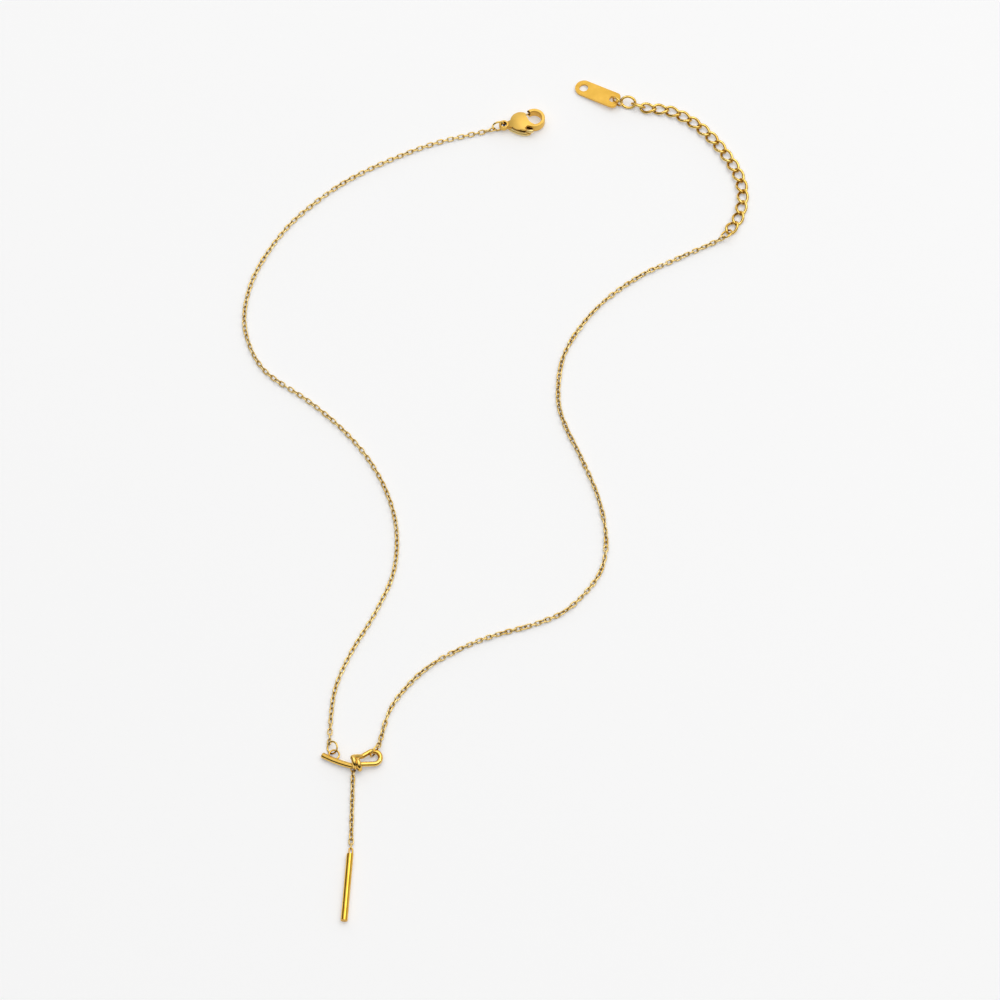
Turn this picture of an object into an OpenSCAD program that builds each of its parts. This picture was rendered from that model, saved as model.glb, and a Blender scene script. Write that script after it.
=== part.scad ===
/* [Fine chain] */
// Width across the fine chain, as each neck strand is drawn
chain_w = 1.1; // [1.0:0.05:1.15]
// Spacing of the sections along a neck strand
strand_step = 4.4; // [4.3:0.1:6]
// Length of a fine link, outside
fine_l = 1.66; // [1.64:0.01:1.7]
// Width of a fine link, outside
fine_w = 1.15; // [1.05:0.01:1.2]
// Wire of a fine link
fine_wire = 0.26; // [0.22:0.01:0.26]

/* [Extender] */
// Spacing of the twisted links
curb_pitch = 2.68; // [2.66:0.01:2.7]
// Length of a twisted link, outside
curb_l = 3.8; // [3.76:0.01:3.84]
// Width of a twisted link, outside
curb_w = 2.75; // [2.65:0.05:2.85]
// Wire of a twisted link
curb_wire = 0.52; // [0.44:0.01:0.52]
// Twist at each end of such a link
curb_twist = 40; // [38:1:45]

/* [Clasp] */
// Thickness of the clasp over its domed faces
clasp_t = 2.6; // [2.5:0.05:2.8]
// Radius of the domed faces
dome_r = 6.5; // [6.3:0.1:7]
// Width of the slot that the lever swings in
slot_w = 0.64; // [0.62:0.01:0.7]
// Thickness of the lever
lever_t = 0.5; // [0.44:0.01:0.52]
// Radius of the pin
pin_r = 0.38; // [0.35:0.01:0.4]
// Gap between the lever's tip and the hook's tip
mouth_gap = 0.15; // [0.12:0.01:0.2]

/* [Pendant] */
// Wire of the pendant's bar
bar_wire = 1.15; // [1.05:0.05:1.2]
// Wire of the pendant's loop and turns
knot_wire = 1.0; // [0.94:0.02:1.02]
// Radius at the loop's round end, to the wire's middle
loop_r = 1.38; // [1.36:0.02:1.44]

/* [Drop bar] */
// Length of the drop bar
drop_bar_l = 14; // [13.5:0.1:14.2]
// Diameter of the drop bar
drop_bar_d = 1.36; // [1.2:0.02:1.4]

/* [End tag] */
// Distance between the tag's two holes
tag_holes = 7.02; // [7.0:0.01:7.1]
// Width of the tag
tag_w = 3.7; // [3.5:0.05:3.9]
// Thickness of the tag
tag_t = 0.6; // [0.5:0.02:0.62]
// Radius of the hole at the tag's free end
tag_hole_r = 0.96; // [0.86:0.02:1]
// Radius of the hole at the chain's end
tag_ring_hole_r = 0.75; // [0.72:0.01:0.8]

/* [Hidden] */
drop_links = 16;
curb_links = 16;
metal = "gold";
$fn = 48;

// Neck strands, from the clasp ring to the pendant and from the extender to the pendant
left_route = [
    [-1.7, 84.5], [-12, 81.5], [-20.5, 78], [-29, 73.5], [-36, 68.5], [-44, 60.5], [-50, 50.5],
    [-52.5, 41.5], [-52, 33.5], [-48, 25.5], [-39, 18.5], [-32, 12], [-26.5, 5], [-22.5, -3],
    [-20.5, -11.5], [-21, -21], [-24.5, -30], [-29.5, -39.5], [-32.5, -48], [-33.3, -58.4]];
right_route = [
    [46.8, 57.1], [36.5, 52], [30, 48.5], [23, 43], [17.5, 36.5], [13.5, 28.5], [12.5, 19], [14, 12.5],
    [17, 5.5], [20.5, -4], [22, -13.5], [20.5, -21.5], [14.5, -29], [8, -32.5], [-1.5, -35.5],
    [-8, -38.5], [-13.5, -42], [-18, -46.5], [-21.5, -52], [-23.5, -59.5]];
strand_sides = 8;
strand_r = chain_w / 2;

// Extender: middles of the twisted links from the tag's side to the right strand's side, then the two
// plain links between them and the tag: middle, length, width, heading and roll
extender_route = [
    [32.1, 89.8], [36.9, 89], [41.6, 86.2], [45.4, 82.4], [48.5, 77.9], [51, 72.8], [51.7, 67.5],
    [50.5, 62.2], [48, 58.5]];
curb_sides = 14;
wire_sides = 6;
curb_z = 0.62;
plain_wire = 0.52;
first_link = [[27.88, 91.09, 0.98], 3.57, 2.92, -14, 35];
second_link = [[29.99, 90.35, 0.89], 3.34, 2.14, -20, -53];

// Jump rings: middle, radius to the middle of the wire, wire, heading and roll about that heading
ring_at = 0;
ring_r = 1;
ring_wire = 2;
ring_heading = 3;
ring_roll = 4;
clasp_jump = [[0.15, 84.78, 1.44], 1.24, 0.42, 13, 80];
left_jump = [[-32.66, -60.12, 0.97], 1.2, 0.38, 115, -40];
right_jump = [[-24.3, -61.09, 1.5], 1.32, 0.36, 55, 90];
extender_jump = [[48.08, 58.35, 0.93], 1.2, 0.4, 230, 36.5];
tag_jump = [[25.53, 91.03, 1.28], 1.08, 0.4, -38.5, 90];

// Clasp, drawn with its eye at the origin and its hook along X
clasp_at = [1.31, 85.06, 0];
clasp_heading = 11.2;
clasp_mid = clasp_t / 2;
eye_r = 0.77;
eye_wire = 0.5;
eye_h = 1.2;
eye_edge_r = 0.2;
hook_at = [6.6, 0.1];
hook_r = 1.94;
hook_w = 0.72;
hook_h = 1.9;
hook_edge_r = 0.16;
hook_start = -140;
hook_sweep = 260;
cheek_at = [3.5, 0];
cheek_r = 2.07;
dome_at = [4.2, 0];
neck_w = 1.24;
lip_z = 0.3;
slot_from = 1.5;
slot_to = 5.9;
pivot = [3.9, 0];
hub_r = 0.95;
lever_hole_r = pin_r + 0.04;
pin_seat_r = pin_r + 0.02;
pin_top = clasp_t - 0.3;
lever_tip_r = 2.47;
nub_at = [5.78, -2.75, 1.36];
nub_r = 0.32;

// Pendant: the bar's free end, the knot's two turns, the loop, and the rings soldered on
bar_end = [-34.65, -61.55, 0.62];
bar_bend_r = 24;
bar_sweep = 17;
bar_heading = -31;
bar_rise = 3.4;
turn_axis = 16;
left_turn = [-28.35, -63.5, 1.66];
left_turn_r = 1.14;
right_turn = [-27.42, -63.98, 1.5];
right_turn_r = 1;
loop_at = [-24.48, -62.3, 1.05];
loop_tilt = 7;
loop_low = 5;
loop_high = 34;
loop_low_l = 4.1;
loop_high_l = 3;
arch_at = [-32.3, -61.62, 0.8];
arch_r = 1.02;
arch_wire = 0.36;
drop_eye = [-28.5, -64.76, 0.5];
drop_eye_r = 0.46;
drop_eye_wire = 0.28;
drop_eye_roll = 25;

// Drop bar: its near end and heading, and the staple at that end which the last link runs through
drop_bar_at = [-28.81, -82.85, drop_bar_d / 2];
drop_bar_heading = -93.8;
staple_at = [-28.66, -81.88, 0.62];
staple_r = 0.36;
staple_wire = 0.26;
staple_l = 1.1;
staple_roll = 10;

// Drop chain, hung between the pendant's eye and the drop bar's ring
link_play = 0.08;
end_reach = (fine_l - fine_wire) / 2;
drop_from = drop_eye[1] - drop_eye_r + (drop_eye_wire + fine_wire) / 2 + link_play - end_reach;
drop_to = staple_at[1] + staple_r - (staple_wire + fine_wire) / 2 - link_play + end_reach;
drop_rolls = [-62, 38, -42, 50, -48, 35, -44, 47, -52, 40, -38, 52, -46, 44, -10, 90];

// Tag: the hole at its free end, its heading and its tilt up to the ring
tag_at = [18.45, 94.95];
tag_heading = -28.3;
tag_tilt = 4.9;
tag_end = 1.35;
tag_corner_r = 1.1;

function unit(v) = v / norm(v);
function pick(p, i) = p[max(0, min(len(p) - 1, i))];

// A smooth curve through the points of a route
function bend(a, b, c, d, t) =
    (2 * b + (c - a) * t + (2 * a - 5 * b + 4 * c - d) * t * t + (3 * b - a - 3 * c + d) * t * t * t) / 2;
function smooth(p, steps) = [
    for (i = [0 : len(p) - 2], k = [0 : steps - 1])
        bend(pick(p, i - 1), p[i], p[i + 1], pick(p, i + 2), k / steps),
    p[len(p) - 1]];

// Distance travelled at each point of a curve, and the place at a given distance
function travelled(p) = [
    for (i = 0, s = 0; i < len(p); i = i + 1, s = s + (i < len(p) ? norm(p[i] - p[i - 1]) : 0)) s];
function place(p, run, s) = [
    lookup(s, [for (i = [0 : len(p) - 1]) [run[i], p[i][0]]]),
    lookup(s, [for (i = [0 : len(p) - 1]) [run[i], p[i][1]]])];
function heading(p, run, s) =
    let (v = place(p, run, s + 0.1) - place(p, run, s - 0.1)) atan2(v[1], v[0]);

// Middle line of an oval link whose two ends are twisted opposite ways
function oval_point(l, w, twist, a) =
    let (turn = -twist * cos(a), side = w / 2 * sin(a))
    [l / 2 * cos(a), side * cos(turn), side * sin(turn)];
function around(n) = [for (i = [0 : n - 1]) 360 * i / n];

// Faces of a tube from its rings of points, closed into a loop or capped at both ends
function tube_faces(rings, sides, closed) = concat(
    [for (i = [0 : rings - (closed ? 1 : 2)], k = [0 : sides - 1], half = [0, 1])
        let (a = i * sides + k,
             b = i * sides + (k + 1) % sides,
             c = (i + 1) % rings * sides + k,
             d = (i + 1) % rings * sides + (k + 1) % sides)
        half == 0 ? [a, c, d] : [a, d, b]],
    closed ? [] : [
        [for (k = [0 : sides - 1]) k],
        [for (k = [0 : sides - 1]) rings * sides - 1 - k]]);

// One neck strand, lying on the surface
module strand(route) {
    path = smooth(route, 8);
    run = travelled(path);
    length = run[len(run) - 1];
    spans = round(length / strand_step);
    height = strand_r * cos(180 / strand_sides);
    points = [
        for (i = [0 : spans], k = [0 : strand_sides - 1])
            let (s = length * i / spans,
                 at = place(path, run, s),
                 a = heading(path, run, s),
                 t = 360 * (k + 0.5) / strand_sides,
                 side = strand_r * cos(t))
            [at[0] - side * sin(a), at[1] + side * cos(a), height + strand_r * sin(t)]];
    polyhedron(points, tube_faces(spans + 1, strand_sides, false));
}

// One twisted oval link, its length along X
module twisted_link(l, w, wire, twist) {
    angles = around(curb_sides);
    middle = [for (a = angles) oval_point(l - wire, w - wire, twist, a)];
    points = [
        for (i = [0 : curb_sides - 1], t = around(wire_sides))
            let (ahead = middle[(i + 1) % curb_sides],
                 behind = middle[(i + curb_sides - 1) % curb_sides],
                 along = unit(ahead - behind),
                 out = unit(middle[i] - (middle[i] * along) * along),
                 up = cross(along, out))
            middle[i] + wire / 2 * (cos(t) * out + sin(t) * up)];
    polyhedron(points, tube_faces(curb_sides, wire_sides, true));
}

module ring(r, wire) {
    rotate_extrude() translate([r, 0]) circle(d = wire);
}

module jump_ring(row) {
    color(metal)
        translate(row[ring_at])
            rotate([0, 0, row[ring_heading]])
                rotate([row[ring_roll], 0, 0])
                    ring(row[ring_r], row[ring_wire]);
}

// A straight length of wire along X
module rod(l, d) {
    rotate([0, 90, 0]) cylinder(d = d, h = l);
}

// One fine link, its length along Y: two round ends joined by two straight sides
module fine_link() {
    r = (fine_w - fine_wire) / 2;
    straight = (fine_l - fine_w) / 2;
    for (end = [0, 180]) rotate([0, 0, end]) {
        translate([0, straight, 0])
            rotate_extrude(angle = 180) translate([r, 0]) circle(d = fine_wire);
        translate([r, -straight, 0])
            rotate([-90, 0, 0]) cylinder(d = fine_wire, h = 2 * straight);
    }
}

module left_chain() color(metal) strand(left_route);
module right_chain() color(metal) strand(right_route);

module clasp_place() {
    translate(clasp_at) rotate([0, 0, clasp_heading]) children();
}

// The cheeks from above: a round dome with a neck to the eye, a lip along the near side as far as
// the tab, and the root of the hook
module cheek_outline() {
    difference() {
        translate(cheek_at) circle(r = cheek_r);
        polygon([[4.72, 1.9], [5.36, -0.72], [6.5, -0.72], [6.5, 1.9]]);
    }
    polygon([[0.5, -neck_w / 2], [1.1, -neck_w / 2], [1.8, -1.1], [2.5, -1.6], [3.1, -1.98], [3.7, -2.28],
             [4.25, -2.46], [4.1, -1.6], [4.9, -1.6], [5.6, -1.85], [6, -2.15], [6.4, -2.1], [6.4, -1.4],
             [5.8, -1.1], [5.4, -0.7], [3.5, 1], [1.6, neck_w / 2], [0.5, neck_w / 2]]);
}

// The lower cheek's lip, which stands out along the near side
module lip() {
    translate([0, 0, lip_z])
        linear_extrude(clasp_mid - lip_z)
            polygon([[0.8, -0.5], [1.5, -1.15], [2.1, -1.62], [2.7, -2.05], [3.3, -2.4], [3.9, -2.68],
                     [4.5, -2.86], [5, -2.9], [5.3, -2.75], [5.4, -2.5], [5.1, -1.9], [3.5, -1.2], [1.5, -0.3]]);
}

// Two shallow domes face to face, which round off the clasp's body
module domes() {
    intersection() {
        translate([dome_at[0], dome_at[1], clasp_t - dome_r]) sphere(r = dome_r, $fn = 96);
        translate([dome_at[0], dome_at[1], dome_r]) sphere(r = dome_r, $fn = 96);
    }
}

// Band of a given width and height, its edges rounded to a given radius, swept about Z
module band(r, w, h, edge_r, sweep) {
    rotate_extrude(angle = sweep) translate([r, 0]) {
        for (x = [-1, 1], y = [-1, 1])
            translate([x * (w / 2 - edge_r), y * (h / 2 - edge_r)]) circle(r = edge_r);
        square([w, h - 2 * edge_r], center = true);
        square([w - 2 * edge_r, h], center = true);
    }
}

module clasp_body() color(metal) clasp_place() difference() {
    union() {
        intersection() {
            linear_extrude(clasp_t) cheek_outline();
            domes();
        }
        lip();
        hook();
        translate([0, 0, clasp_mid]) band(eye_r, eye_wire, eye_h, eye_edge_r, 360);
    }
    translate([slot_from, -4, clasp_mid - slot_w / 2]) cube([slot_to - slot_from, 8, slot_w]);
    translate([pivot[0], pivot[1], -1]) cylinder(r = pin_seat_r, h = pin_top + 1);
}

// The hook, its tip cut back to the circle in which the lever's tip swings
module hook() {
    difference() {
        translate([hook_at[0], hook_at[1], clasp_mid])
            rotate([0, 0, hook_start]) band(hook_r, hook_w, hook_h, hook_edge_r, hook_sweep);
        intersection() {
            translate([pivot[0], pivot[1], 0]) cylinder(r = lever_tip_r + mouth_gap, h = clasp_t);
            translate([pivot[0], pivot[1] + 1, 0]) cube([3, 3, clasp_t]);
        }
    }
}

module clasp_pin() {
    color(metal) clasp_place()
        translate([pivot[0], pivot[1], 0.08]) cylinder(r = pin_r, h = pin_top - 0.12);
}

// The lever: a hub on the pin, an arm that closes the mouth and a tab for the thumb
module clasp_lever() color(metal) clasp_place() {
    difference() {
        union() {
            translate([pivot[0], pivot[1], clasp_mid - lever_t / 2]) linear_extrude(lever_t) lever_outline();
            translate(nub_at) sphere(r = nub_r);
        }
        translate([pivot[0], pivot[1], 0]) cylinder(r = lever_hole_r, h = clasp_t);
    }
}

module lever_outline() {
    circle(r = hub_r);
    intersection() {
        circle(r = lever_tip_r);
        polygon([[0, 0], [3, 2.65], [3, 4], [0.3, 4]]);
    }
    polygon([[-0.8, -0.5], [-0.2, -1.9], [0.4, -2.55], [1.5, -2.95], [1.95, -3], [2.1, -2.5],
             [1.6, -2], [0.85, -0.4]]);
}

// The knotted wire: a bar bent a little, two turns around it and a drawn-out loop
module knot_pendant() color(metal) {
    translate(bar_end) rotate([0, 0, bar_heading]) rotate([0, -bar_rise, 0])
        translate([0, bar_bend_r, 0]) rotate([0, 0, -90])
            rotate_extrude(angle = bar_sweep) translate([bar_bend_r, 0]) circle(d = bar_wire);
    knot_turn(left_turn, left_turn_r);
    knot_turn(right_turn, right_turn_r);
    translate(loop_at) rotate([0, loop_tilt, 0]) loop();
    translate(arch_at) ring(arch_r, arch_wire);
    translate(drop_eye) rotate([0, drop_eye_roll, 0]) ring(drop_eye_r, drop_eye_wire);
}

module knot_turn(at, r) {
    translate(at) rotate([0, 0, turn_axis]) rotate([0, 90, 0]) ring(r, knot_wire);
}

// The loop lies flat about its round end, with its two legs running back to the knot
module loop() {
    rotate([0, 0, loop_low - 90])
        rotate_extrude(angle = 180 + loop_high - loop_low) translate([loop_r, 0]) circle(d = knot_wire);
    rotate([0, 0, loop_low + 180]) translate([0, loop_r, 0]) rod(loop_low_l, knot_wire);
    rotate([0, 0, loop_high + 180]) translate([0, -loop_r, 0]) rod(loop_high_l, knot_wire);
}

module drop_bar() color(metal) {
    translate(drop_bar_at) rotate([0, 0, drop_bar_heading]) rod(drop_bar_l, drop_bar_d);
    translate(staple_at) rotate([0, staple_roll, 0]) {
        rotate_extrude(angle = 180) translate([staple_r, 0]) circle(d = staple_wire);
        for (side = [-1, 1])
            translate([side * staple_r, 0, 0]) rotate([90, 0, 0]) cylinder(d = staple_wire, h = staple_l);
    }
}

module drop_link(i) {
    t = (i - 1) / (drop_links - 1);
    x = drop_eye[0] + (staple_at[0] - drop_eye[0]) * t;
    roll = drop_rolls[i - 1];
    color(metal)
        translate([x, drop_from + (drop_to - drop_from) * t, drop_height(roll)])
            rotate([0, roll, 0]) fine_link();
}

// A rolled link rests on the surface with its lower side, and links to a neighbour of middle height
function drop_height(roll) = max(0.5, (fine_w - fine_wire) / 2 * abs(sin(roll)) + fine_wire / 2);

module extender_link(i) {
    path = smooth(extender_route, 8);
    run = travelled(path);
    s = (i - 3) * curb_pitch;
    if (i == 1) plain_link(first_link);
    if (i == 2) plain_link(second_link);
    if (i > 2) color(metal)
        translate([place(path, run, s)[0], place(path, run, s)[1], curb_z])
            rotate([0, 0, heading(path, run, s)])
                twisted_link(curb_l, curb_w, curb_wire, curb_twist);
}

module plain_link(row) {
    color(metal)
        translate(row[0])
            rotate([row[4], 0, row[3]]) twisted_link(row[1], row[2], plain_wire, 0);
}

// The tag lies on its free end and is lifted by the ring at its other end
module end_tag() color(metal) {
    lift = tag_w / 2 * sin(tag_tilt);
    translate([tag_at[0], tag_at[1], lift]) rotate([0, 0, tag_heading]) rotate([0, -tag_tilt, 0])
        difference() {
            linear_extrude(tag_t) tag_outline();
            translate([0, 0, -1]) cylinder(r = tag_hole_r, h = tag_t + 2);
            translate([tag_holes, 0, -1]) cylinder(r = tag_ring_hole_r, h = tag_t + 2);
        }
}

module tag_outline() {
    far = tag_holes + tag_end;
    circle(d = tag_w);
    translate([0, -tag_w / 2]) square([far - tag_corner_r, tag_w]);
    for (side = [-1, 1])
        translate([far - tag_corner_r, side * (tag_w / 2 - tag_corner_r)]) circle(r = tag_corner_r);
    translate([0, tag_corner_r - tag_w / 2]) square([far, tag_w - 2 * tag_corner_r]);
}

clasp_body();
clasp_lever();
clasp_pin();
jump_ring(clasp_jump);  // clasp_ring
left_chain();
jump_ring(left_jump);  // left_ring
knot_pendant();
jump_ring(right_jump);  // right_ring
right_chain();
jump_ring(extender_jump);  // extender_ring
for (i = [1 : curb_links + 2])
    extender_link(i);
jump_ring(tag_jump);  // tag_ring
end_tag();
drop_bar();
for (i = [1 : drop_links])
    drop_link(i);
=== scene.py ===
import math
import random

import bpy
import numpy as np
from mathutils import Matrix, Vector


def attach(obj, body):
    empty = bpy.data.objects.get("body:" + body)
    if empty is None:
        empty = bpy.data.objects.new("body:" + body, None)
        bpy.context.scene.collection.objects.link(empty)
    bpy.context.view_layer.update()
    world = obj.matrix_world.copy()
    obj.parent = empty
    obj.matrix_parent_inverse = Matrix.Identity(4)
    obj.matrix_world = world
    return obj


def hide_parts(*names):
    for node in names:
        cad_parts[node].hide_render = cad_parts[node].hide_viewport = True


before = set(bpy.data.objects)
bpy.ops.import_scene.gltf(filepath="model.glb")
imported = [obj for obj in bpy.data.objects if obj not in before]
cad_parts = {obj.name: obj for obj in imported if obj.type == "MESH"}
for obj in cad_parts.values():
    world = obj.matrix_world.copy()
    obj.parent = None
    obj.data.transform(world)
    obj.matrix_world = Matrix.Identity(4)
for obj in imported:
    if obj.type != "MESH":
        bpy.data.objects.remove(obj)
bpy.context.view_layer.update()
mm = 0.001
print("frame loaded,", len(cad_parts), "nodes")


# Camera of the photograph: long lens, looking down on the table; places in meters
camera = {
    "place": (0.0005, -0.4310, 0.8113), "tilt": 27.743, "lens": 162.0, "sensor": 36.0,
    "nearest": 0.01, "farthest": 20}


def makeCamera():
    data = bpy.data.cameras.new("photoCamera")
    data.lens = camera["lens"]
    data.sensor_width = camera["sensor"]
    data.clip_start = camera["nearest"]
    data.clip_end = camera["farthest"]
    view = bpy.data.objects.new("photoCamera", data)
    view.location = camera["place"]
    view.rotation_euler = (math.radians(camera["tilt"]), 0, 0)
    bpy.context.scene.collection.objects.link(view)
    bpy.context.scene.camera = view
    bpy.context.scene.view_settings.view_transform = "Standard"


makeCamera()
print("camera set")


# Small helpers for node materials
def addNode(tree, kind, place, **values):
    node = tree.nodes.new(kind)
    node.location = place
    for key, value in values.items():
        setattr(node, key, value)
    return node


def addNoise(tree, place, vector, scale, detail):
    noise = addNode(tree, "ShaderNodeTexNoise", place)
    noise.inputs["Scale"].default_value = scale
    noise.inputs["Detail"].default_value = detail
    tree.links.new(vector, noise.inputs["Vector"])
    return noise.outputs["Fac"]


# Runs from one pair of values to another as the input does
def addRange(tree, place, value, before, after, **values):
    node = addNode(tree, "ShaderNodeMapRange", place, **values)
    node.inputs["From Min"].default_value = before[0]
    node.inputs["From Max"].default_value = before[1]
    node.inputs["To Min"].default_value = after[0]
    node.inputs["To Max"].default_value = after[1]
    tree.links.new(value, node.inputs["Value"])
    return node.outputs["Result"]


# A ramp between two colors
def addRamp(tree, place, share, colors, stops):
    ramp = addNode(tree, "ShaderNodeValToRGB", place)
    for k in (0, 1):
        ramp.color_ramp.elements[k].position = stops[k]
        ramp.color_ramp.elements[k].color = (*colors[k], 1)
    tree.links.new(share, ramp.inputs["Fac"])
    return ramp.outputs["Color"]


# One color that gives way to what is linked as the share grows
def addMix(tree, place, share, color, tone):
    mix = addNode(tree, "ShaderNodeMix", place, data_type="RGBA")
    mix.inputs["A"].default_value = (*color, 1)
    tree.links.new(share, mix.inputs["Factor"])
    tree.links.new(tone, mix.inputs["B"])
    return mix.outputs["Result"]


def addMath(tree, place, operation, first, second):
    node = addNode(tree, "ShaderNodeMath", place, operation=operation)
    tree.links.new(first, node.inputs[0])
    tree.links.new(second, node.inputs[1])
    return node.outputs["Value"]


def newMaterial(name):
    material = bpy.data.materials.new(name)
    material.use_nodes = True
    return material, material.node_tree, material.node_tree.nodes["Principled BSDF"]


# What all the gold finishes share
goldMake = {
    "cloudDetail": 4, "cloudStops": (0.3, 0.7), "smudgeScale": 3.1, "smudgeDetail": 6,
    "lineDetail": 5, "paintedShadeSamples": 8, "shadeSpotFade": (0.88, 1)}

# Each finish: its cloudy color, its gloss, the faint polishing lines, the painted shade color where
# neighbors crowd it and its painted shade spots; depths and reaches are in meters, a spot's place and reach
# in millimeters
goldLooks = {
    "polishedGold": {
        "deep": (0.78, 0.47, 0.09), "bright": (0.93, 0.62, 0.17), "cloudScale": 420.0,
        "roughness": (0.07, 0.14), "lineAngle": 20.0, "lineStretch": 9.0, "lineScale": 1500.0,
        "relief": 0.15, "reliefDepth": 0.00001,
        "paintedShadeColor": (0.3, 0.13, 0.012), "paintedShadeOcclusion": (0.2, 0.7), "paintedShadeReach": 0.0006},
    "pendantGold": {
        "deep": (0.78, 0.46, 0.08), "bright": (0.92, 0.6, 0.15), "cloudScale": 420.0,
        "roughness": (0.09, 0.17), "lineAngle": 20.0, "lineStretch": 9.0, "lineScale": 1500.0,
        "relief": 0.15, "reliefDepth": 0.00001,
        "paintedShadeColor": (0.2, 0.085, 0.006), "paintedShadeOcclusion": (0.3, 0.66), "paintedShadeReach": 0.0014},
    "chainGold": {
        "deep": (0.8, 0.52, 0.13), "bright": (0.98, 0.76, 0.34), "cloudScale": 700.0,
        "roughness": (0.07, 0.15), "lineAngle": 0.0, "lineStretch": 1.0, "lineScale": 2600.0,
        "relief": 0.3, "reliefDepth": 0.00001,
        "paintedShadeColor": (0.11, 0.045, 0.002), "paintedShadeOcclusion": (0.28, 0.78), "paintedShadeReach": 0.0008},
    "linkGold": {
        "deep": (0.82, 0.5, 0.09), "bright": (0.98, 0.71, 0.22), "cloudScale": 500.0,
        "roughness": (0.06, 0.13), "lineAngle": 0.0, "lineStretch": 1.0, "lineScale": 1900.0,
        "relief": 0.2, "reliefDepth": 0.00001,
        "paintedShadeColor": (0.26, 0.115, 0.007), "paintedShadeOcclusion": (0.3, 0.74), "paintedShadeReach": 0.0014},
    "barGold": {
        "deep": (0.76, 0.43, 0.05), "bright": (0.88, 0.53, 0.08), "cloudScale": 420.0,
        "roughness": (0.08, 0.15), "lineAngle": 86.0, "lineStretch": 12.0, "lineScale": 1500.0,
        "relief": 0.15, "reliefDepth": 0.00001,
        "paintedShadeColor": (0.4, 0.18, 0.015), "paintedShadeOcclusion": (0.2, 0.6), "paintedShadeReach": 0.0005},
    "brushedGold": {
        "deep": (0.82, 0.52, 0.11), "bright": (0.9, 0.6, 0.15), "cloudScale": 300.0,
        "roughness": (0.5, 0.58), "lineAngle": 11.0, "lineStretch": 20.0, "lineScale": 900.0,
        "relief": 0.2, "reliefDepth": 0.00001,
        "paintedShadeColor": (0.2, 0.08, 0.006), "paintedShadeOcclusion": (0.1, 0.6), "paintedShadeReach": 0.0006,
        # Painted shade spots: the slot under the dome, the gap by the hook's root, the eye's hole and the
        # hook's tip
        "paintedShadeSpots": [
            {"at": (4.74, 85.74, 0.98), "reach": (2.6, 2.6, 0.06), "color": (0.05, 0.016, 0.002)},
            {"at": (6.95, 84.39, 0.98), "reach": (0.8, 0.7, 0.06), "color": (0.05, 0.016, 0.002)},
            {"at": (1.31, 85.06, 1.3), "reach": (0.66, 0.66, 3), "color": (0.12, 0.05, 0.004)},
            {"at": (6.5, 87.85, 1.6), "reach": (0.5, 0.5, 1), "color": (0.12, 0.05, 0.004)}]},
    # Paler than the other golds: a painted highlight standing in for the light on the lip and the lever
    "lipGoldPaintedHighlight": {
        "deep": (0.95, 0.7, 0.26), "bright": (1.0, 0.82, 0.42), "cloudScale": 420.0,
        "roughness": (0.4, 0.5), "lineAngle": 20.0, "lineStretch": 9.0, "lineScale": 1500.0,
        "relief": 0.1, "reliefDepth": 0.00001,
        "paintedShadeColor": (0.25, 0.1, 0.008), "paintedShadeOcclusion": (0.1, 0.4), "paintedShadeReach": 0.0003},
    "tagGold": {
        "deep": (0.74, 0.42, 0.06), "bright": (0.9, 0.54, 0.1), "cloudScale": 260.0,
        "roughness": (0.24, 0.36), "lineAngle": 28.3, "lineStretch": 26.0, "lineScale": 900.0,
        "relief": 0.5, "reliefDepth": 0.00002,
        "paintedShadeColor": (0.3, 0.13, 0.012), "paintedShadeOcclusion": (0.3, 0.75), "paintedShadeReach": 0.0006},
}


# A painted shade spot about a point, as wide across and as high as its reach says
def addPaintedShadeSpot(tree, coords, tone, shadeSpot):
    away = addNode(tree, "ShaderNodeVectorMath", (-1100, 900), operation="SUBTRACT")
    tree.links.new(coords, away.inputs[0])
    away.inputs[1].default_value = tuple(c * mm for c in shadeSpot["at"])
    share = addNode(tree, "ShaderNodeVectorMath", (-900, 900), operation="DIVIDE")
    tree.links.new(away.outputs["Vector"], share.inputs[0])
    share.inputs[1].default_value = tuple(c * mm for c in shadeSpot["reach"])
    distance = addNode(tree, "ShaderNodeVectorMath", (-700, 900), operation="LENGTH")
    tree.links.new(share.outputs["Vector"], distance.inputs[0])
    fade = addRange(tree, (-500, 900), distance.outputs["Value"], goldMake["shadeSpotFade"], (0, 1))
    return addMix(tree, (-300, 700), fade, shadeSpot["color"], tone)


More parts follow.
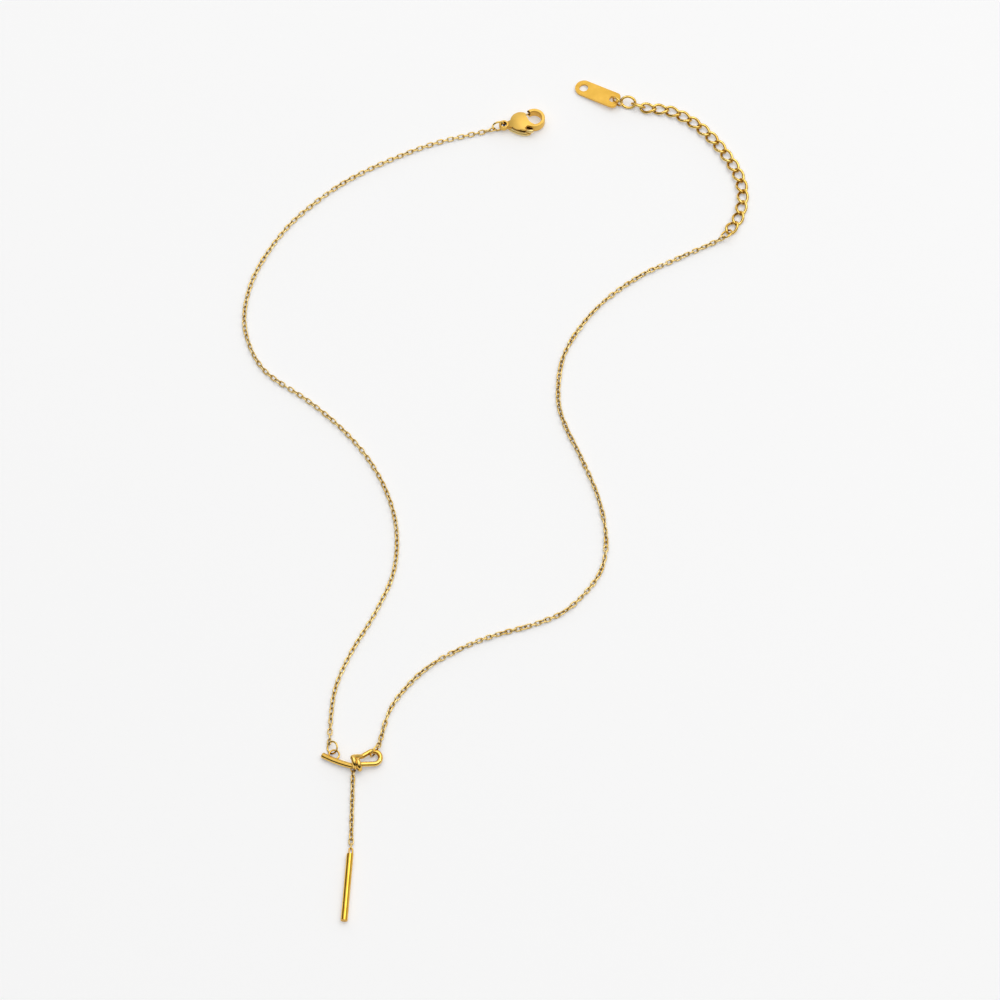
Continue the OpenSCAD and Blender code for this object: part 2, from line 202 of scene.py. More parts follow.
# Gold plate over steel: cloudy color, faint polishing lines, a soft unevenness of the gloss, and painted
# shade where neighbors crowd it and at given spots
def makeGold(name, look):
    material, tree, shader = newMaterial(name)
    shader.inputs["Metallic"].default_value = 1
    coords = addNode(tree, "ShaderNodeTexCoord", (-1400, 0)).outputs["Object"]
    cloud = addNoise(tree, (-1100, 250), coords, look["cloudScale"], goldMake["cloudDetail"])
    tint = addRamp(tree, (-800, 300), cloud, (look["deep"], look["bright"]), goldMake["cloudStops"])
    # Painted shade: ambient occlusion turns the color towards the painted shade color where neighbors crowd
    # the surface
    paintedShadeOcclusion = addNode(tree, "ShaderNodeAmbientOcclusion", (-800, 600), samples=goldMake["paintedShadeSamples"])
    paintedShadeOcclusion.inputs["Distance"].default_value = look["paintedShadeReach"]
    unshadedShare = addRange(tree, (-600, 600), paintedShadeOcclusion.outputs["AO"], look["paintedShadeOcclusion"], (0, 1))
    tone = addMix(tree, (-400, 400), unshadedShare, look["paintedShadeColor"], tint)
    # Painted shade spots darken the color at given places
    for shadeSpot in look.get("paintedShadeSpots", []):
        tone = addPaintedShadeSpot(tree, coords, tone, shadeSpot)
    tree.links.new(tone, shader.inputs["Base Color"])

    smudgeScale = look["cloudScale"] * goldMake["smudgeScale"]
    smudge = addNoise(tree, (-1100, -50), coords, smudgeScale, goldMake["smudgeDetail"])
    gloss = addRange(tree, (-500, 0), smudge, (0, 1), look["roughness"])
    tree.links.new(gloss, shader.inputs["Roughness"])

    turned = addNode(tree, "ShaderNodeMapping", (-1100, -400))
    turned.inputs["Rotation"].default_value = (0, 0, math.radians(look["lineAngle"]))
    turned.inputs["Scale"].default_value = (1, look["lineStretch"], 1)
    tree.links.new(coords, turned.inputs["Vector"])
    lines = addNoise(tree, (-800, -400), turned.outputs["Vector"], look["lineScale"], goldMake["lineDetail"])
    relief = addNode(tree, "ShaderNodeBump", (-500, -400))
    relief.inputs["Strength"].default_value = look["relief"]
    relief.inputs["Distance"].default_value = look["reliefDepth"]
    tree.links.new(lines, relief.inputs["Height"])
    tree.links.new(relief.outputs["Normal"], shader.inputs["Normal"])
    return material


golds = {name: makeGold(name, look) for name, look in goldLooks.items()}
print("gold finishes made")


# Floor and room: how bright each side of the room is, and where along its direction each one fades;
# the floor's size and the lights' places are in meters
studio = {
    "floorSize": 6.0, "floorColor": (0.79, 0.79, 0.79), "floorRoughness": 0.75, "floorGlow": 0.31,
    "floorGloss": 0.2, "grainScale": 18, "grainDetail": 2, "grainShade": 0.992,
    "skyColor": (1.0, 1.0, 1.0), "overhead": 0.95, "overheadFade": (0.62, 0.82),
    "leftWall": 0.12, "rightWall": 0.5, "sideFade": (-0.2, 0.4),
    "frontWall": 0.2, "frontFade": (-0.6, 0.1), "backWall": 0.78, "backFade": (0.5, 0.75)}
lights = {
    "keyLight": {"place": (0.42, 0.69, 1.26), "size": 0.9, "power": 2.4},
    "topLight": {"place": (0.3, 0.1, 1.45), "size": 1.2, "power": 3.5},
    "leftSpark": {"place": (-0.5, 0.75, 0.95), "size": 0.2, "power": 0.5},
    "rightSpark": {"place": (0.85, 0.15, 0.9), "size": 0.2, "power": 0.5}}


def makeFloor():
    half = studio["floorSize"] / 2
    mesh = bpy.data.meshes.new("floor")
    corners = [(-half, -half, 0), (half, -half, 0), (half, half, 0), (-half, half, 0)]
    mesh.from_pydata(corners, [], [(0, 1, 2, 3)])
    floor = bpy.data.objects.new("floor", mesh)
    bpy.context.scene.collection.objects.link(floor)
    material, tree, shader = newMaterial("palePaper")
    shader.inputs["Roughness"].default_value = studio["floorRoughness"]
    shader.inputs["Specular IOR Level"].default_value = studio["floorGloss"]
    shader.inputs["Emission Color"].default_value = (*studio["floorColor"], 1)
    shader.inputs["Emission Strength"].default_value = studio["floorGlow"]
    coords = addNode(tree, "ShaderNodeTexCoord", (-900, 0)).outputs["Object"]
    grain = addNoise(tree, (-700, 0), coords, studio["grainScale"], studio["grainDetail"])
    low = tuple(c * studio["grainShade"] for c in studio["floorColor"])
    shade = addRamp(tree, (-450, 0), grain, (low, studio["floorColor"]), (0, 1))
    tree.links.new(shade, shader.inputs["Base Color"])
    mesh.materials.append(material)


def makeLight(name, row):
    data = bpy.data.lights.new(name, "AREA")
    data.shape = "SQUARE"
    data.size = row["size"]
    data.energy = row["power"]
    light = bpy.data.objects.new(name, data)
    light.location = row["place"]
    light.rotation_mode = "QUATERNION"
    light.rotation_quaternion = (-Vector(row["place"])).to_track_quat("-Z", "Y")
    bpy.context.scene.collection.objects.link(light)


# How bright the room is along one direction
def addWall(tree, place, direction, fade, brightness):
    return addRange(tree, place, direction, fade, brightness, interpolation_type="SMOOTHSTEP")


def makeSky():
    world = bpy.data.worlds.new("softRoom")
    world.use_nodes = True
    bpy.context.scene.world = world
    tree = world.node_tree
    coords = addNode(tree, "ShaderNodeTexCoord", (-900, 0))
    split = addNode(tree, "ShaderNodeSeparateXYZ", (-700, 0))
    tree.links.new(coords.outputs["Generated"], split.inputs["Vector"])
    right, back, up = (split.outputs[axis] for axis in "XYZ")
    height = addWall(tree, (-500, 0), up, studio["overheadFade"], (0, 1))
    sides = addWall(tree, (-500, -300), right, studio["sideFade"], (studio["leftWall"], studio["rightWall"]))
    front = addWall(tree, (-500, -600), back, studio["frontFade"], (studio["frontWall"], 1))
    rear = addWall(tree, (-500, -900), back, studio["backFade"], (0, studio["backWall"]))
    around = addMath(tree, (-250, -400), "MULTIPLY", sides, front)
    walls = addMath(tree, (-250, -700), "MAXIMUM", around, rear)
    room = addNode(tree, "ShaderNodeMix", (-100, 0))
    tree.links.new(height, room.inputs["Factor"])
    tree.links.new(walls, room.inputs["A"])
    room.inputs["B"].default_value = studio["overhead"]
    background = tree.nodes["Background"]
    background.inputs["Color"].default_value = (*studio["skyColor"], 1)
    tree.links.new(room.outputs["Result"], background.inputs["Strength"])


makeFloor()
for lightName, lightRow in lights.items():
    makeLight(lightName, lightRow)
makeSky()
print("floor and light made")


# Mesh builders, in millimeters until the mesh is made
def makePiece(name, shape, finish, body, nodes):
    points, faces = shape
    mesh = bpy.data.meshes.new(name)
    mesh.from_pydata([tuple(p) for p in np.asarray(points) * mm], [], faces)
    mesh.polygons.foreach_set("use_smooth", [True] * len(mesh.polygons))
    mesh.materials.append(golds[finish])
    piece = bpy.data.objects.new(name, mesh)
    bpy.context.scene.collection.objects.link(piece)
    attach(piece, body)
    if nodes:
        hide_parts(*nodes)


def unit(v):
    return v / np.linalg.norm(v)


# Faces of a tube from its rings of points
def tubeFaces(rings, sides, closed, first=0):
    faces = []
    for i in range(rings if closed else rings - 1):
        for k in range(sides):
            a = first + i * sides + k
            b = first + i * sides + (k + 1) % sides
            c = first + (i + 1) % rings * sides + k
            d = first + (i + 1) % rings * sides + (k + 1) % sides
            faces.append((a, c, d, b))
    if not closed:
        faces.append(tuple(first + k for k in range(sides)))
        faces.append(tuple(first + rings * sides - 1 - k for k in range(sides)))
    return faces


# Smooth curve through route points, with the distance run at each of its points
def smoothRoute(route, steps):
    p = [np.array(q, float) for q in route]
    p = [p[0]] + p + [p[-1]]
    curve = []
    for i in range(1, len(p) - 2):
        a, b, c, d = p[i - 1:i + 3]
        for k in range(steps):
            t = k / steps
            curve.append((2 * b + (c - a) * t + (2 * a - 5 * b + 4 * c - d) * t * t
                          + (3 * b - a - 3 * c + d) * t ** 3) / 2)
    curve.append(p[-2])
    curve = np.array(curve)
    lengths = np.linalg.norm(np.diff(curve, axis=0), axis=1)
    return curve, np.concatenate([[0], np.cumsum(lengths)])


def placeOn(curve, run, s):
    return np.array([np.interp(s, run, curve[:, axis]) for axis in range(curve.shape[1])])


# Points of a closed wire round a middle line that lies about the origin
def wireLoop(line, wire, sides):
    ahead = np.roll(line, -1, axis=0) - np.roll(line, 1, axis=0)
    ahead /= np.linalg.norm(ahead, axis=1)[:, None]
    out = line - (line * ahead).sum(axis=1)[:, None] * ahead
    out /= np.linalg.norm(out, axis=1)[:, None]
    up = np.cross(ahead, out)
    turns = np.arange(sides) * 2 * math.pi / sides
    ringPoints = (np.cos(turns)[None, :, None] * out[:, None, :]
                  + np.sin(turns)[None, :, None] * up[:, None, :])
    return (line[:, None, :] + wire / 2 * ringPoints).reshape(-1, 3)


# Open wires start sideways to a direction that none of them runs along
offAxis = (0.1, 0.2, 1)
wireMake = {"curveSteps": 6, "endTurns": (0, 30, 60, 90)}


# Points of a round wire along a middle line in space, with its radius at each point of the line
def sweepWire(line, radii, sides):
    line = np.asarray(line, float)
    ahead = np.gradient(line, axis=0)
    ahead /= np.linalg.norm(ahead, axis=1)[:, None]
    side = unit(np.cross(ahead[0], offAxis))
    points = []
    for i, middle in enumerate(line):
        side = unit(side - np.dot(side, ahead[i]) * ahead[i])
        up = np.cross(ahead[i], side)
        for k in range(sides):
            a = 2 * math.pi * k / sides
            points.append(middle + radii[i] * (math.cos(a) * side + math.sin(a) * up))
    return points


# Places along a wire and its radius there, the edges at both ends rounded off
def wireStations(length, radius, edge, step):
    near = []
    for turn in wireMake["endTurns"]:
        a = math.radians(turn)
        near.append((edge * (1 - math.cos(a)), radius - edge * (1 - math.sin(a))))
    count = max(2, round((length - 2 * edge) / step))
    inner = [(edge + (length - 2 * edge) * i / count, radius) for i in range(1, count)]
    far = [(length - s, r) for s, r in reversed(near)]
    return near + inner + far


# An open wire with rounded ends along a route in space
def openWire(route, wire, edge, step, sides):
    curve, run = smoothRoute(route, wireMake["curveSteps"])
    stations = wireStations(run[-1], wire / 2, edge, step)
    line = [placeOn(curve, run, s) for s, radius in stations]
    radii = [radius for s, radius in stations]
    return sweepWire(line, radii, sides), tubeFaces(len(line), sides, False)


# A closed ring of wire, tilted about the Y axis; its mesh is the count of stations and of sides
def flatRing(middle, radius, wire, roll, ringMesh):
    around, sides = ringMesh
    turns = np.arange(around) * 2 * math.pi / around
    tilt = math.radians(roll)
    line = radius * np.stack([np.cos(turns), np.sin(turns), 0 * turns], 1)
    loop = wireLoop(line, wire, sides)
    tilted = np.stack([loop[:, 0] * math.cos(tilt) + loop[:, 2] * math.sin(tilt), loop[:, 1],
                       loop[:, 2] * math.cos(tilt) - loop[:, 0] * math.sin(tilt)], 1)
    return tilted + np.array(middle), tubeFaces(around, sides, True)


# Joins several shapes, each with its points and faces, into one
def joinShapes(shapes):
    points = []
    faces = []
    for shapePoints, shapeFaces in shapes:
        first = len(points)
        points += [tuple(p) for p in shapePoints]
        faces += [tuple(first + corner for corner in face) for face in shapeFaces]
    return points, faces


# Joins links, each with its middle line, wire, axes and middle
def joinLinks(laid, sides):
    points = []
    faces = []
    for line, wire, axes, middle in laid:
        faces += tubeFaces(len(line), sides, True, sum(len(p) for p in points))
        points.append(wireLoop(line, wire, sides) @ axes + middle)
    return np.concatenate(points), faces


# Turns a link's own axes to a direction and a roll about it
def linkAxes(direction, roll):
    ahead = unit(direction)
    level = unit(np.cross((0, 0, 1), ahead))
    up = np.cross(ahead, level)
    a = math.radians(roll)
    wide = math.cos(a) * level + math.sin(a) * up
    return np.array([ahead, wide, np.cross(ahead, wide)])


# Jump rings as they lie: middle, radius to the wire's middle, wire, heading, roll and where the cut is
jumpRings = {
    "clasp_ring": {"piece": "ringAtClasp", "middle": (0.15, 84.78, 1.44), "radius": 1.24, "wire": 0.42,
                   "heading": 13, "roll": 80, "cutAt": 250},
    "left_ring": {"piece": "ringAtBar", "middle": (-32.66, -60.12, 0.97), "radius": 1.2, "wire": 0.38,
                  "heading": 115, "roll": -40, "cutAt": 305},
    "right_ring": {"piece": "ringAtLoop", "middle": (-24.3, -61.09, 1.5), "radius": 1.32, "wire": 0.36,
                   "heading": 55, "roll": 90, "cutAt": 200},
    "extender_ring": {"piece": "ringAtExtender", "middle": (48.08, 58.35, 0.93), "radius": 1.2, "wire": 0.4,
                      "heading": 230, "roll": 36.5, "cutAt": 120},
    "tag_ring": {"piece": "ringAtTag", "middle": (25.53, 91.03, 1.28), "radius": 1.08, "wire": 0.4,
                 "heading": -38.5, "roll": 90, "cutAt": 60},
}
ringMake = {"sides": 14, "step": 0.12, "cut": 0.035, "edge": 0.03}


# A point of a ring's middle line, and the line's direction there
def ringPoint(ring, angle):
    h = math.radians(ring["heading"])
    r = math.radians(ring["roll"])
    a = math.radians(angle)
    ahead = np.array([math.cos(h), math.sin(h), 0])
    side = np.array([-math.sin(h) * math.cos(r), math.cos(h) * math.cos(r), math.sin(r)])
    point = np.array(ring["middle"]) + ring["radius"] * (math.cos(a) * ahead + math.sin(a) * side)
    tangent = -math.sin(a) * ahead + math.cos(a) * side
    return point, tangent


# Bent wire whose cut ends nearly meet
def bendRing(node, ring):
    half = math.degrees(ringMake["cut"] / 2 / ring["radius"])
    start = ring["cutAt"] + half
    length = math.radians(360 - 2 * half) * ring["radius"]
    stations = wireStations(length, ring["wire"] / 2, ringMake["edge"], ringMake["step"])
    line = [ringPoint(ring, start + math.degrees(s / ring["radius"]))[0] for s, radius in stations]
    radii = [radius for s, radius in stations]
    points = sweepWire(line, radii, ringMake["sides"])
    faces = tubeFaces(len(line), ringMake["sides"], False)
    makePiece(ring["piece"], (points, faces), "linkGold", "necklace", [node])


for ringNode, ringRow in jumpRings.items():
    bendRing(ringNode, ringRow)
print("jump rings bent")


# The two neck strands: real links laid along the routes, joined into one mesh each
fineLink = {"length": 1.72, "width": 1.12, "wire": 0.3, "around": 24, "sides": 8, "restHeight": 0.5}
strands = {
    "leftChain": {
        "node": "left_chain", "pitch": 1.145, "seed": 3, "sway": 6.0, "slack": 0.03,
        "startRing": "clasp_ring", "startAngle": 212, "endRing": "left_ring", "endAngle": 12,
        "route": [(-12, 81.5), (-20.5, 78), (-29, 73.5), (-36, 68.5), (-44, 60.5), (-50, 50.5),
                  (-52.5, 41.5), (-52, 33.5), (-48, 25.5), (-39, 18.5), (-32, 12), (-26.5, 5),
                  (-22.5, -3), (-20.5, -11.5), (-21, -21), (-24.5, -30), (-29.5, -39.5),
                  (-32.5, -48)]},
    "rightChain": {
        "node": "right_chain", "pitch": 1.04, "seed": 11, "sway": 16.0, "slack": 0.1,
        "startRing": "extender_ring", "startAngle": 0, "endRing": "right_ring", "endAngle": -8,
        "route": [(36.5, 52), (30, 48.5), (23, 43), (17.5, 36.5), (13.5, 28.5), (12.5, 19),
                  (14, 12.5), (17, 5.5), (20.5, -4), (22, -13.5), (20.5, -21.5), (14.5, -29),
                  (8, -32.5), (-1.5, -35.5), (-8, -38.5), (-13.5, -42), (-18, -46.5),
                  (-21.5, -52)]},
}

# How a strand hangs on its rings: the share of the turn and of the lift that each next link keeps, how far
# below the ring the strand heads, and the roll of its free links to either side
strandMake = {
    "curveSteps": 16, "turnKept": 0.6, "leastTurn": 0.02, "liftKept": 0.45, "liftedLinks": 6,
    "fall": 1.2, "linkRoll": 45}


# Middle line of a fine link: two round ends joined by straight sides, with its length along X
def linkLine(link):
    r = (link["width"] - link["wire"]) / 2
    straight = (link["length"] - link["width"]) / 2
    half = link["around"] // 2
    points = []
    for shift, start in ((straight, -90), (-straight, 90)):
        for k in range(half):
            a = math.radians(start + 180 * k / (half - 1))
            points.append((shift + r * math.cos(a), r * math.sin(a), 0))
    return np.array(points)


# Height at which the middle of a rolled fine link lies over the table
def restingHeight(roll):
    across = (fineLink["width"] - fineLink["wire"]) / 2
    onEdge = across * abs(math.sin(math.radians(roll))) + fineLink["wire"] / 2
    return max(fineLink["restHeight"], onEdge)


# Roll at which a link stands square to the ring that it hangs on
def rollAcross(direction, tangent):
    ahead = unit(direction)
    level = unit(np.cross((0, 0, 1), ahead))
    up = np.cross(ahead, level)
    roll = math.degrees(math.atan2(-np.dot(tangent, level), np.dot(tangent, up)))
    return (roll + 90) % 180 - 90


# Turns a roll by a share of the shorter way to another, as a link looks the same after half a turn
def turnTowards(roll, wanted, share):
    while wanted - roll > 90:
        wanted -= 180
    while wanted - roll < -90:
        wanted += 180
    return roll + (wanted - roll) * share


# Middle and roll of the link that hangs on a ring, from where the strand leaves it
def hangOnRing(strand, end, near):
    ring = jumpRings[strand[end + "Ring"]]
    hold = fineLink["length"] / 2 - fineLink["wire"] - strand["slack"]
    point, tangent = ringPoint(ring, strand[end + "Angle"])
    away = unit(np.array([*near, point[2] - strandMake["fall"]]) - point)
    return point + (hold - ring["wire"] / 2) * away, rollAcross(away, tangent)


def layStrand(name, strand):
    chance = random.Random(strand["seed"])
    start = hangOnRing(strand, "start", strand["route"][0])
    end = hangOnRing(strand, "end", strand["route"][-1])
    route = [start[0][:2]] + [np.array(p) for p in strand["route"]] + [end[0][:2]]
    curve, run = smoothRoute(route, strandMake["curveSteps"])
    count = round(run[-1] / strand["pitch"]) + 1
    middles = []
    rolls = []
    for i in range(count):
        roll = strandMake["linkRoll"] if i % 2 else -strandMake["linkRoll"]
        roll += chance.gauss(0, strand["sway"])
        fromEnds = ((i, start), (count - 1 - i, end))
        for away, (middle, wanted) in fromEnds:
            share = strandMake["turnKept"] ** away
            if share > strandMake["leastTurn"]:
                roll = turnTowards(roll, wanted + 90 * (away % 2), share)
        height = restingHeight(roll)
        for away, (middle, wanted) in fromEnds:
            if away < strandMake["liftedLinks"]:
                height += (middle[2] - height) * strandMake["liftKept"] ** away
        place = placeOn(curve, run, run[-1] * i / (count - 1))
        middles.append(np.array([*place, height]))
        rolls.append(roll)
    line = linkLine(fineLink)
    laid = []
    for i in range(count):
        direction = middles[min(count - 1, i + 1)] - middles[max(0, i - 1)]
        laid.append((line, fineLink["wire"], linkAxes(direction, rolls[i]), middles[i]))
    makePiece(name, joinLinks(laid, fineLink["sides"]), "chainGold", "necklace", [strand["node"]])
    print(name, "laid with", count, "links,", round(run[-1], 1), "mm")


for strandName, strandRow in strands.items():
    layStrand(strandName, strandRow)


# Drop chain: the same links, lying as they do in the frame
dropChain = {
    "from": (-28.5, -65.57), "to": (-28.66, -81.16), "direction": (0, 1, 0),
    "rolls": [-62, 38, -42, 50, -48, 35, -44, 47, -52, 40, -38, 52, -46, 44, -10, 90]}


def layDrop():
    line = linkLine(fineLink)
    count = len(dropChain["rolls"])
    laid = []
    for i, roll in enumerate(dropChain["rolls"]):
        share = i / (count - 1)
        place = np.array(dropChain["from"]) * (1 - share) + np.array(dropChain["to"]) * share
        axes = linkAxes(np.array(dropChain["direction"]), roll)
        laid.append((line, fineLink["wire"], axes, np.array([*place, restingHeight(roll)])))
    nodes = [f"drop_link_{i + 1}" for i in range(count)]
    makePiece("dropLinks", joinLinks(laid, fineLink["sides"]), "chainGold", "necklace", nodes)
    print("drop chain laid with", count, "links")


layDrop()


# Extender: twisted oval links along their route, then two plain ones towards the tag
extender = {
    "pitch": 2.68, "length": 3.8, "width": 2.67, "wire": 0.61, "twist": 40, "height": 0.67, "links": 16,
    "around": 56, "sides": 12, "curveSteps": 8, "headingReach": 0.1, "plainWire": 0.58,
    "route": [(32.1, 89.8), (36.9, 89), (41.6, 86.2), (45.4, 82.4), (48.5, 77.9), (51, 72.8),
              (51.7, 67.5), (50.5, 62.2), (48, 58.5)],
    "plain": [
        {"middle": (27.88, 91.09, 0.98), "length": 3.57, "width": 2.92, "heading": -14, "roll": 35},
        {"middle": (29.99, 90.35, 0.92), "length": 3.34, "width": 2.14, "heading": -20, "roll": -53}]}


# Middle line of an oval link, whose two ends are twisted against each other
def ovalLine(length, width, twist):
    points = []
    for k in range(extender["around"]):
        a = 2 * math.pi * k / extender["around"]
        turn = math.radians(-twist * math.cos(a))
        side = width / 2 * math.sin(a)
        points.append((length / 2 * math.cos(a), side * math.cos(turn), side * math.sin(turn)))
    return np.array(points)


def layExtender():
    curve, run = smoothRoute(extender["route"], extender["curveSteps"])
    laid = []
    wire = extender["wire"]
    line = ovalLine(extender["length"] - wire, extender["width"] - wire, extender["twist"])
    reach = extender["headingReach"]
    for i in range(extender["links"]):
        s = i * extender["pitch"]
        place = placeOn(curve, run, s)
        ahead = placeOn(curve, run, s + reach) - placeOn(curve, run, s - reach)
        laid.append((line, wire, linkAxes(np.array([*ahead, 0]), 0), np.array([*place, extender["height"]])))
    wire = extender["plainWire"]
    for link in extender["plain"]:
        line = ovalLine(link["length"] - wire, link["width"] - wire, 0)
        h = math.radians(link["heading"])
        axes = linkAxes(np.array([math.cos(h), math.sin(h), 0]), link["roll"])
        laid.append((line, wire, axes, np.array(link["middle"])))
    nodes = [f"extender_link_{i + 1}" for i in range(len(laid))]
    makePiece("extenderLinks", joinLinks(laid, extender["sides"]), "linkGold", "necklace", nodes)
    print("extender laid with", len(laid), "links")


layExtender()


# Clasp: the rounded lip beside its body, and the lever, which is a ring about the pin, a flat arm that
# closes the mouth and a tab for the thumb; drawn with the clasp's eye at the origin, thickness last in a rod
clasp = {
    "place": (1.31, 85.06, 0), "heading": 11.2, "pivot": (3.9, 0), "middle": 1.3,
    "lipWire": 0.95, "lipEdge": 0.4, "lipStep": 0.15, "lipSides": 24,
    "lip": [(1.1, -0.42, 0.6), (1.48, -0.86, 0.58), (2.08, -1.35, 0.57), (2.68, -1.79, 0.56),
            (3.28, -2.14, 0.54), (3.88, -2.4, 0.53), (4.48, -2.54, 0.53), (5.05, -2.51, 0.53)],
    "tab": [(4.25, -0.75, 1.3, 0.24), (4.3, -1.4, 1.3, 0.26), (4.45, -2, 1.34, 0.28),
            (4.8, -2.45, 1.42, 0.34), (5.3, -2.66, 1.46, 0.4), (5.95, -2.7, 1.46, 0.4)],
    "arm": [(4.1, 0.74, 1.3, 0.5), (4.5, 1.25, 1.3, 0.56), (4.83, 1.7, 1.3, 0.5), (5.2, 2.08, 1.3, 0.4)],
    "tip": [(4.25, 2.02, 1.3, 0.36), (4.82, 1.87, 1.3, 0.4), (5.3, 1.54, 1.3, 0.36)],
    "armFlat": 0.6, "hubMiddle": 0.74, "hubWire": 0.4, "hubMesh": (48, 16)}
rodMake = {"curveSteps": 8, "endTurns": (0, 20, 40, 60, 75), "steps": 20, "leastRadius": 0.01, "sides": 20}


# From the clasp's own axes to its place on the table
def onClasp(x, y, z):
    turn = math.radians(clasp["heading"])
    return np.array(clasp["place"]) + np.array([
        x * math.cos(turn) - y * math.sin(turn), x * math.sin(turn) + y * math.cos(turn), z])


# A rod whose thickness changes along its route, both ends rounded off
def taperedRod(stations):
    stations = np.array(stations, float)
    curve, run = smoothRoute(stations[:, :3], rodMake["curveSteps"])
    lengths = np.linalg.norm(np.diff(stations[:, :3], axis=0), axis=1)
    knots = np.concatenate([[0], np.cumsum(lengths)])
    knots *= run[-1] / knots[-1]
    first = stations[0, 3]
    last = stations[-1, 3]
    places = []
    radii = []
    for turn in rodMake["endTurns"]:
        a = math.radians(turn)
        places.append(first * (1 - math.cos(a)))
        radii.append(max(first * math.sin(a), rodMake["leastRadius"]))
    for k in range(1, rodMake["steps"]):
        s = first + (run[-1] - first - last) * k / rodMake["steps"]
        places.append(s)
        radii.append(float(np.interp(s, knots, stations[:, 3])))
    for turn in reversed(rodMake["endTurns"]):
        a = math.radians(turn)
        places.append(run[-1] - last * (1 - math.cos(a)))
        radii.append(max(last * math.sin(a), rodMake["leastRadius"]))
    line = [placeOn(curve, run, s) for s in places]
    points = sweepWire(line, radii, rodMake["sides"])
    return np.array(points), tubeFaces(len(line), rodMake["sides"], False)


# Presses a rod flat about the clasp's middle height
def pressFlat(rod):
    points, faces = rod
    points[:, 2] = clasp["middle"] + (points[:, 2] - clasp["middle"]) * clasp["armFlat"]
    return points, faces


def makeLip():
    route = [onClasp(*p) for p in clasp["lip"]]
    shape = openWire(route, clasp["lipWire"], clasp["lipEdge"], clasp["lipStep"], clasp["lipSides"])
    makePiece("claspLip", shape, "lipGoldPaintedHighlight", "necklace", [])


def makeLever():
    pinPlace = (*clasp["pivot"], clasp["middle"])
    hub = flatRing(pinPlace, clasp["hubMiddle"], clasp["hubWire"], 0, clasp["hubMesh"])
    arm = pressFlat(taperedRod(clasp["arm"]))
    tip = pressFlat(taperedRod(clasp["tip"]))
    points, faces = joinShapes([taperedRod(clasp["tab"]), arm, tip, hub])
    placed = [onClasp(*p) for p in points]
    makePiece("claspLever", (placed, faces), "lipGoldPaintedHighlight", "lever", ["clasp_lever"])


makeLip()
makeLever()
print("clasp lip and lever made")


# Pendant: a bar, and a wire that makes the loop and then winds twice round the bar's end
pendant = {
    "barEnd": (-34.65, -61.55, 0.62), "barBend": 24.0, "barSweep": 17.0, "barHeading": -31.0,
    "barRise": 3.4, "barWire": 1.15, "barEdge": 0.14, "barPoints": 12, "barStep": 0.2, "barSides": 32,
    "wire": 1.0, "wireEdge": 0.2, "wireStep": 0.14, "wireSides": 28,
    "loopAt": (-24.48, -62.3, 1.05), "loopRadius": 1.38, "loopTilt": 7.0, "loopPoints": 16,
    "lowAngle": 5.0, "lowLeg": 3.9, "lowShares": (1, 0.75, 0.5, 0.25),
    "highAngle": 34.0, "highLeg": 1.9, "highShares": (0.33, 0.66, 1), "between": (-27.5, -62.5, 1.95),
    "turnAxis": 16.0, "firstTurn": (-28.35, -63.5, 1.66, 1.14), "secondTurn": (-27.42, -63.98, 1.5, 1.0),
    "windFrom": 60, "windTo": 640, "windStep": 20, "crossFrom": 200, "crossOver": 220,
    "archAt": (-32.3, -61.62, 0.8), "archRadius": 1.02, "archWire": 0.36, "archMesh": (64, 14),
    "eyeAt": (-28.5, -64.72, 0.5), "eyeRadius": 0.46, "eyeWire": 0.28, "eyeRoll": 25, "eyeMesh": (40, 12)}


def barRoute():
    route = []
    rise = math.radians(pendant["barRise"])
    turn = math.radians(pendant["barHeading"])
    for k in range(pendant["barPoints"] + 1):
        t = math.radians(pendant["barSweep"] * k / pendant["barPoints"])
        x = pendant["barBend"] * math.sin(t)
        y = pendant["barBend"] * (1 - math.cos(t))
        level = x * math.cos(rise)
        route.append(np.array(pendant["barEnd"]) + np.array([
            level * math.cos(turn) - y * math.sin(turn),
            level * math.sin(turn) + y * math.cos(turn),
            x * math.sin(rise)]))
    return route


# From the loop's own tilted plane to its place
def loopPlace(x, y):
    tilt = math.radians(pendant["loopTilt"])
    return np.array(pendant["loopAt"]) + np.array([x * math.cos(tilt), y, -x * math.sin(tilt)])


# The lower leg, the round of the loop and the upper leg
def loopRoute():
    route = []
    r = pendant["loopRadius"]
    low = math.radians(pendant["lowAngle"])
    high = math.radians(pendant["highAngle"])
    for share in pendant["lowShares"]:
        back = pendant["lowLeg"] * share
        x = r * math.sin(low) - back * math.cos(low)
        y = -r * math.cos(low) - back * math.sin(low)
        route.append(loopPlace(x, y))
    for k in range(pendant["loopPoints"] + 1):
        a = low - math.pi / 2 + (math.pi + high - low) * k / pendant["loopPoints"]
        route.append(loopPlace(r * math.cos(a), r * math.sin(a)))
    for share in pendant["highShares"]:
        back = pendant["highLeg"] * share
        x = -r * math.sin(high) - back * math.cos(high)
        y = r * math.cos(high) - back * math.sin(high)
        route.append(loopPlace(x, y))
    return route


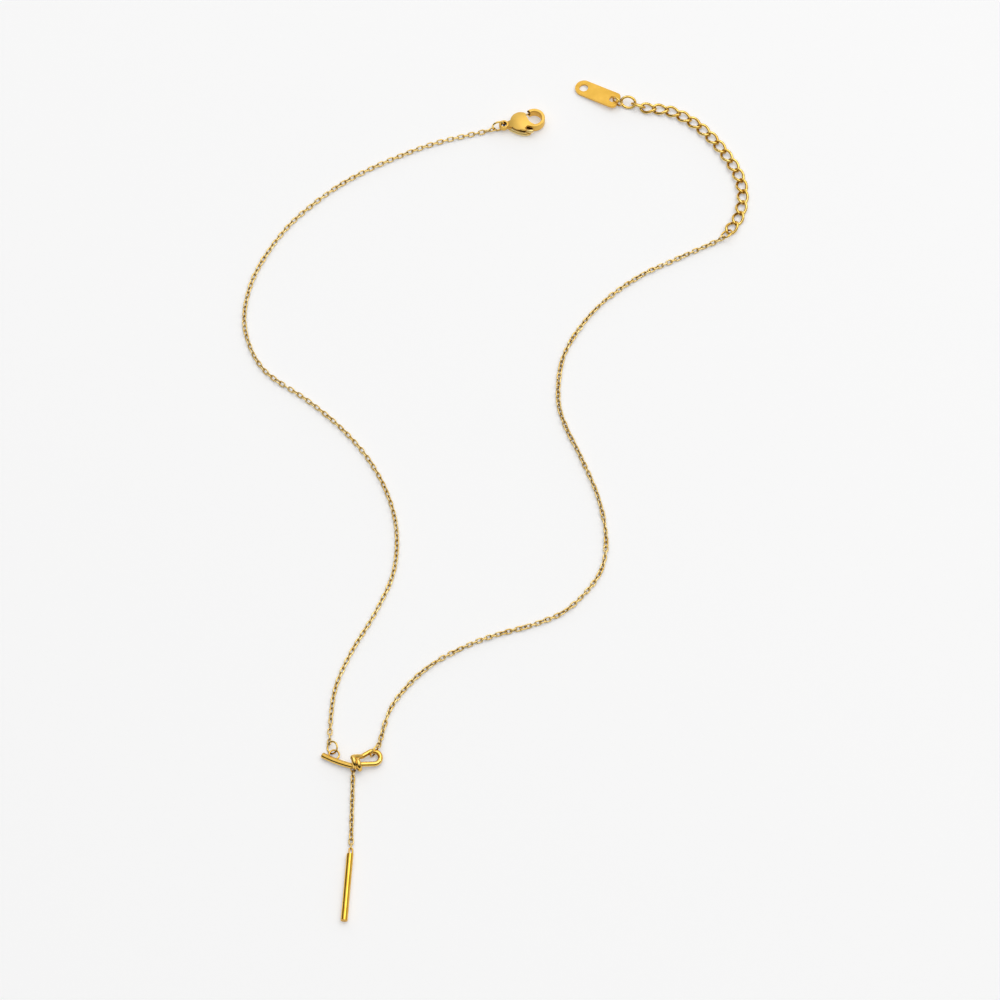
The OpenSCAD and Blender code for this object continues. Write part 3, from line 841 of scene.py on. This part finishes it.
# The two turns about the bar; between them the wire crosses over from the first to the second
def windRoute():
    route = []
    axis = math.radians(pendant["turnAxis"])
    behind = np.array([-math.sin(axis), math.cos(axis), 0])
    up = np.array([0, 0, 1])
    first = np.array(pendant["firstTurn"])
    second = np.array(pendant["secondTurn"])
    for angle in range(pendant["windFrom"], pendant["windTo"] + 1, pendant["windStep"]):
        share = min(1, max(0, (angle - pendant["crossFrom"]) / pendant["crossOver"]))
        share = share * share * (3 - 2 * share)
        row = first + (second - first) * share
        a = math.radians(angle)
        route.append(row[:3] + row[3] * (math.cos(a) * behind + math.sin(a) * up))
    return route


def makePendant():
    p = pendant
    wireRoute = loopRoute() + [np.array(p["between"])] + windRoute()
    shape = joinShapes([
        openWire(barRoute(), p["barWire"], p["barEdge"], p["barStep"], p["barSides"]),
        openWire(wireRoute, p["wire"], p["wireEdge"], p["wireStep"], p["wireSides"]),
        flatRing(p["archAt"], p["archRadius"], p["archWire"], 0, p["archMesh"]),
        flatRing(p["eyeAt"], p["eyeRadius"], p["eyeWire"], p["eyeRoll"], p["eyeMesh"])])
    makePiece("bowPendant", shape, "pendantGold", "necklace", ["knot_pendant"])


makePendant()
print("pendant made")


# What stays from the frame: its finish, and how far its edges are softened in millimeters
stays = {
    "clasp_body": {"finish": "brushedGold", "softEdge": 0.1},
    "clasp_pin": {"finish": "polishedGold", "softEdge": 0},
    "drop_bar": {"finish": "barGold", "softEdge": 0.1},
    "end_tag": {"finish": "tagGold", "softEdge": 0.2}}
bevelMake = {"segments": 3, "fromAngle": 35}


def softenEdges(node, width):
    bevel = node.modifiers.new("softEdges", "BEVEL")
    bevel.width = width * mm
    bevel.segments = bevelMake["segments"]
    bevel.limit_method = "ANGLE"
    bevel.angle_limit = math.radians(bevelMake["fromAngle"])
    bevel.harden_normals = True


def dressNode(node, row):
    if not node.material_slots:
        node.data.materials.append(golds[row["finish"]])
    for slot in node.material_slots:
        slot.material = golds[row["finish"]]
    node.data.polygons.foreach_set("use_smooth", [True] * len(node.data.polygons))
    if row["softEdge"]:
        softenEdges(node, row["softEdge"])


for nodeName, nodeRow in stays.items():
    dressNode(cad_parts[nodeName], nodeRow)
print("frame dressed")
